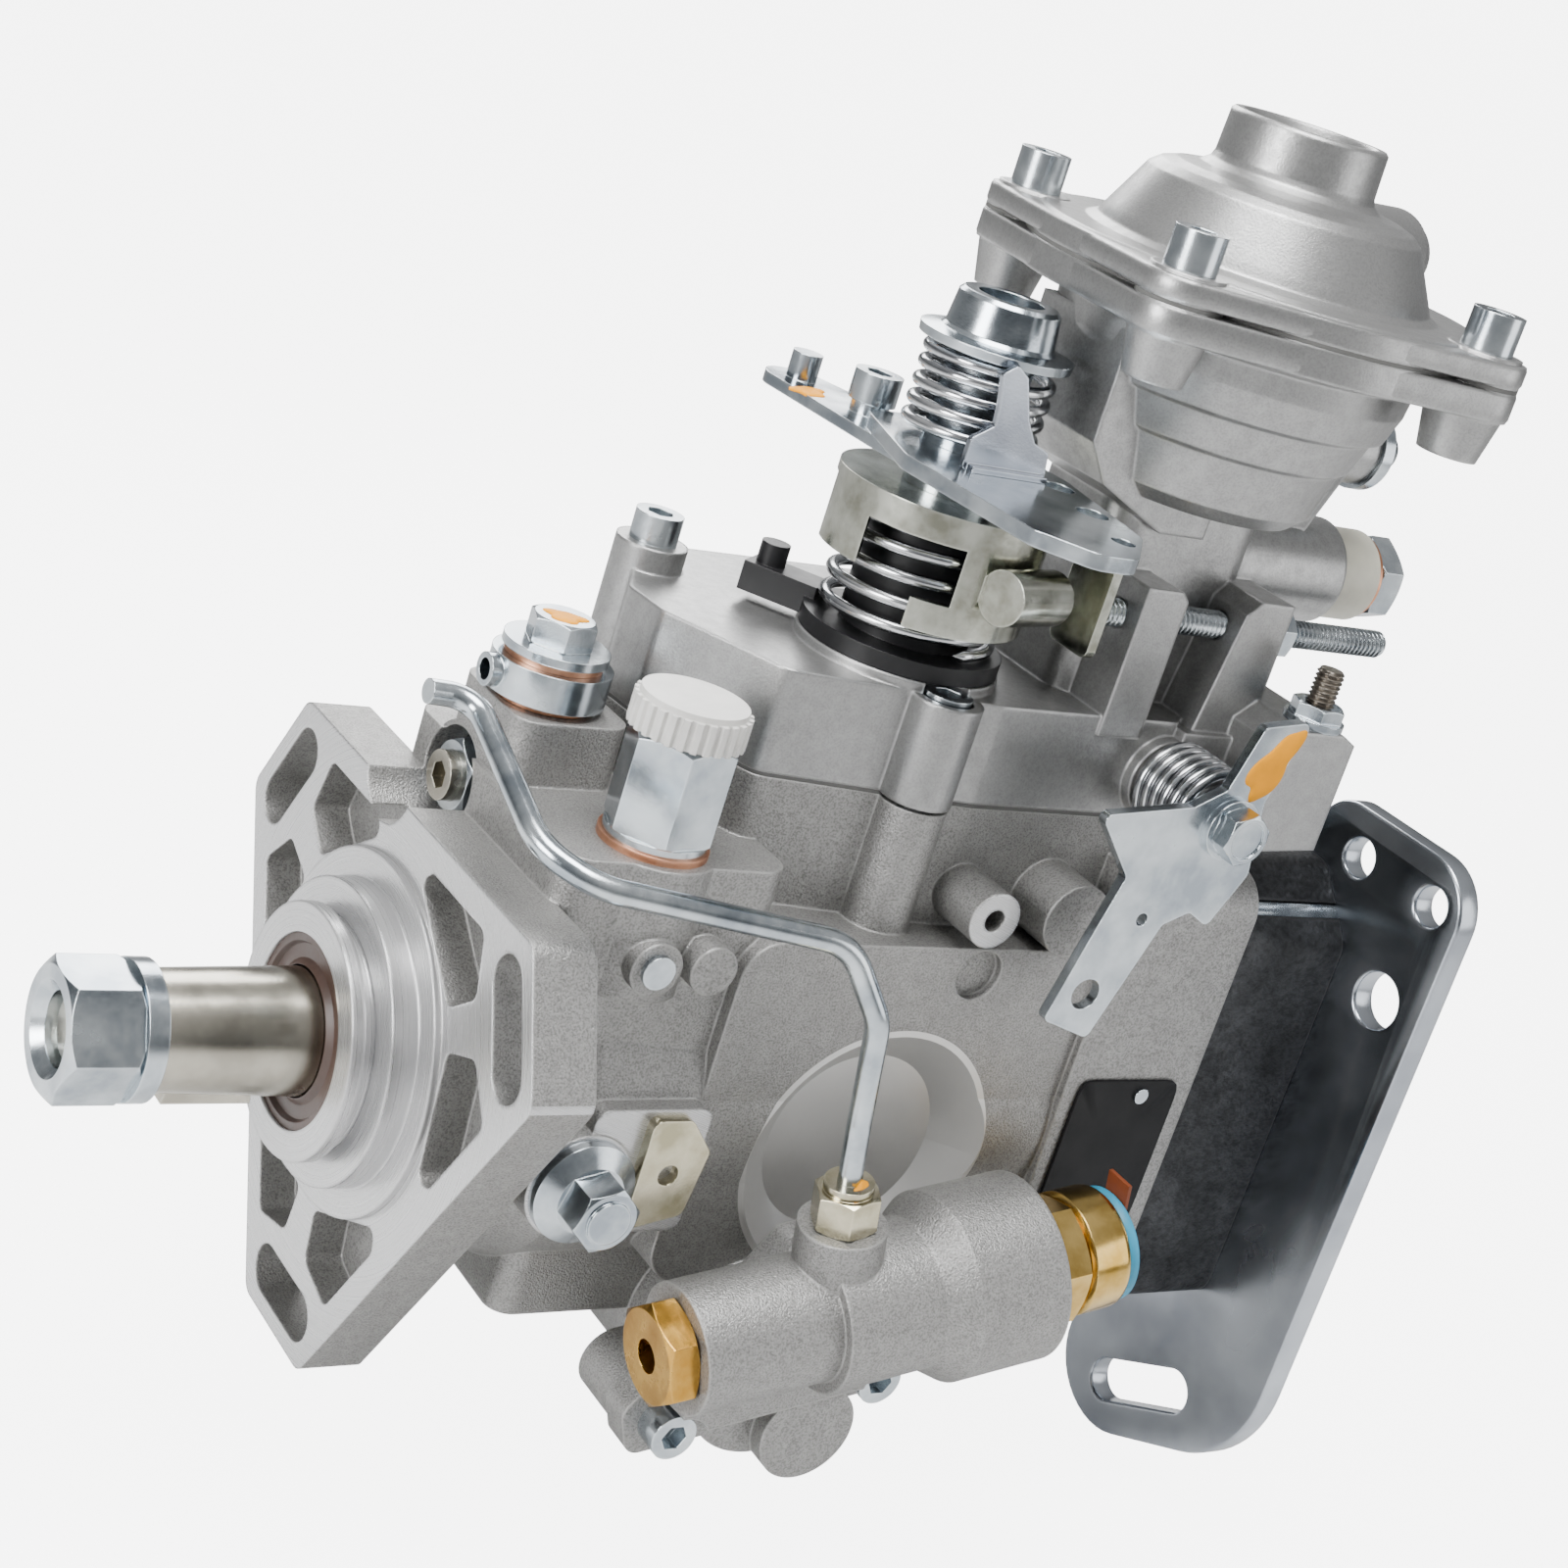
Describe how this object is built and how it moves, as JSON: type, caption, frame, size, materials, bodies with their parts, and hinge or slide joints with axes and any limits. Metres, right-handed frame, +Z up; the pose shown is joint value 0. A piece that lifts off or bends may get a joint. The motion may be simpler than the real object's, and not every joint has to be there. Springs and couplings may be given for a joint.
{
  "type": "diesel injection pump",
  "caption": "Rotary distributor injection pump with flanged cast housing, lever governor, boost unit, stop lever and rear bracket.",
  "frame": {"origin": "on the drive shaft's axis, in the plane of the mounting flange's front face", "axes": "+X along the drive shaft towards the delivery ports, +Z up through the governor cover, +Y away from the side that carries the stop lever"},
  "size_m": [0.295, 0.1493, 0.3068],
  "materials": {
    "cast_aluminium": "sand-cast, matt",
    "die_cast_aluminium": "die-cast, satin",
    "dark_cast_iron": "phosphated, matt",
    "bright_steel": "machined",
    "zinc_steel": "zinc plated, satin",
    "yellow_zinc": "yellow passivated zinc",
    "spring_steel": "drawn wire",
    "brass": "machined",
    "copper": "soft copper, tarnished",
    "seal_rubber": "moulded",
    "gasket_material": "pressed sheet",
    "cyan_gasket": "moulded",
    "white_plastic": "moulded",
    "cream_plastic": "moulded",
    "black_plastic": "moulded"
  },
  "bodies": {
    "pump": {"pump_housing": "cast_aluminium", "shaft_seal": "seal_rubber", "shaft_bush": "brass", "vane_liner": "bright_steel", "governor_shaft": "bright_steel", "governor_lock_nut": "zinc_steel", "hydraulic_head": "dark_cast_iron", "delivery_valve_holders": "zinc_steel", "closing_plugs": "zinc_steel", "rear_bracket": "zinc_steel", "governor_cover": "die_cast_aluminium", "cover_gasket": "gasket_material", "inlet_fitting": "zinc_steel", "inlet_cap": "white_plastic", "banjo_union": "zinc_steel", "copper_washers": "copper", "union_bolts": "zinc_steel", "lock_plate": "yellow_zinc", "shaft_lock_screw": "zinc_steel", "cold_start_housing": "cast_aluminium", "brass_plug": "brass", "cold_start_solenoid": "yellow_zinc", "solenoid_gasket": "cyan_gasket", "solenoid_terminal": "yellow_zinc", "timer_cover": "cast_aluminium", "pipe_fitting": "zinc_steel", "steel_pipe": "zinc_steel", "boost_cover": "die_cast_aluminium", "boost_diaphragm": "gasket_material", "return_sleeve": "cream_plastic", "spring_cup": "black_plastic", "return_spring": "spring_steel", "stop_spring": "spring_steel", "set_screws": "zinc_steel", "lock_nuts": "zinc_steel", "socket_screws": "zinc_steel"},
    "drive": {"drive_shaft": "bright_steel", "shaft_key": "bright_steel", "shaft_washer": "bright_steel", "shaft_nut": "bright_steel", "vane_rotor": "bright_steel", "governor_drive_gear": "bright_steel", "cross_disc": "bright_steel", "cam_plate": "bright_steel", "plunger": "bright_steel"},
    "governor": {"flyweight_cage": "bright_steel"},
    "throttle": {"throttle_shaft": "bright_steel", "lever_bracket": "yellow_zinc", "throttle_lever": "zinc_steel", "upper_spring": "spring_steel", "spring_seat_nut": "zinc_steel", "lever_clip": "yellow_zinc"},
    "stop": {"stop_shaft": "bright_steel", "stop_lever": "zinc_steel"},
    "boost": {"boost_pin": "bright_steel"},
    "timer": {"timer_piston": "bright_steel"},
    "ring": {"roller_ring": "bright_steel"},
    "sleeve": {"governor_sleeve": "bright_steel"},
    "lever": {"governor_lever": "bright_steel"},
    "collar": {"control_collar": "bright_steel"}
  },
  "joints": [
    {"name": "shaft_turn", "type": "hinge", "parent": "pump", "child": "drive", "pos_m": [0, 0, 0], "axis": [1, 0, 0], "continuous": true},
    {"name": "governor_turn", "type": "hinge", "parent": "pump", "child": "governor", "pos_m": [0.06, 0.012, 0.05], "axis": [1, 0, 0], "continuous": true},
    {"name": "throttle_turn", "type": "hinge", "parent": "pump", "child": "throttle", "pos_m": [0.09, -0.01, 0.11], "axis": [0, 0, -1], "range_deg": [0, 40], "stiffness_Nm_per_rad": 1, "springref_deg": -22.92},
    {"name": "stop_turn", "type": "hinge", "parent": "pump", "child": "stop", "pos_m": [0.147, -0.04, 0.08], "axis": [0, 1, 0], "range_deg": [0, 30], "stiffness_Nm_per_rad": 0.5, "springref_deg": -22.92},
    {"name": "boost_pin_slide", "type": "slide", "parent": "pump", "child": "boost", "axis": [0, 0, -1], "range_m": [0, 0.008], "stiffness_N_per_m": 3000, "springref_m": -0.004},
    {"name": "timer_slide", "type": "slide", "parent": "pump", "child": "timer", "axis": [0, 1, 0], "range_m": [0, 0.008], "stiffness_N_per_m": 3000, "springref_m": -0.004},
    {"name": "ring_turn", "type": "hinge", "parent": "pump", "child": "ring", "pos_m": [0.074, 0, 0], "axis": [1, 0, 0], "range_deg": [0, 9.8]},
    {"name": "sleeve_slide", "type": "slide", "parent": "pump", "child": "sleeve", "axis": [1, 0, 0], "range_m": [0, 0.005], "stiffness_N_per_m": 1500, "springref_m": -0.004},
    {"name": "governor_lever_turn", "type": "hinge", "parent": "pump", "child": "lever", "pos_m": [0.108, 0, 0.029], "axis": [0, 1, 0], "range_deg": [0, 13.7]},
    {"name": "collar_slide", "type": "slide", "parent": "pump", "child": "collar", "axis": [-1, 0, 0], "range_m": [0, 0.0045]}
  ],
  "couplings": [
    {"joint": "governor_turn", "follows": "shaft_turn", "ratio": -1.5},
    {"joint": "ring_turn", "follows": "timer_slide", "rad_per_m": 21.277},
    {"joint": "governor_lever_turn", "follows": "sleeve_slide", "rad_per_m": 47.619},
    {"joint": "collar_slide", "follows": "sleeve_slide", "ratio": 0.88571}
  ]
}
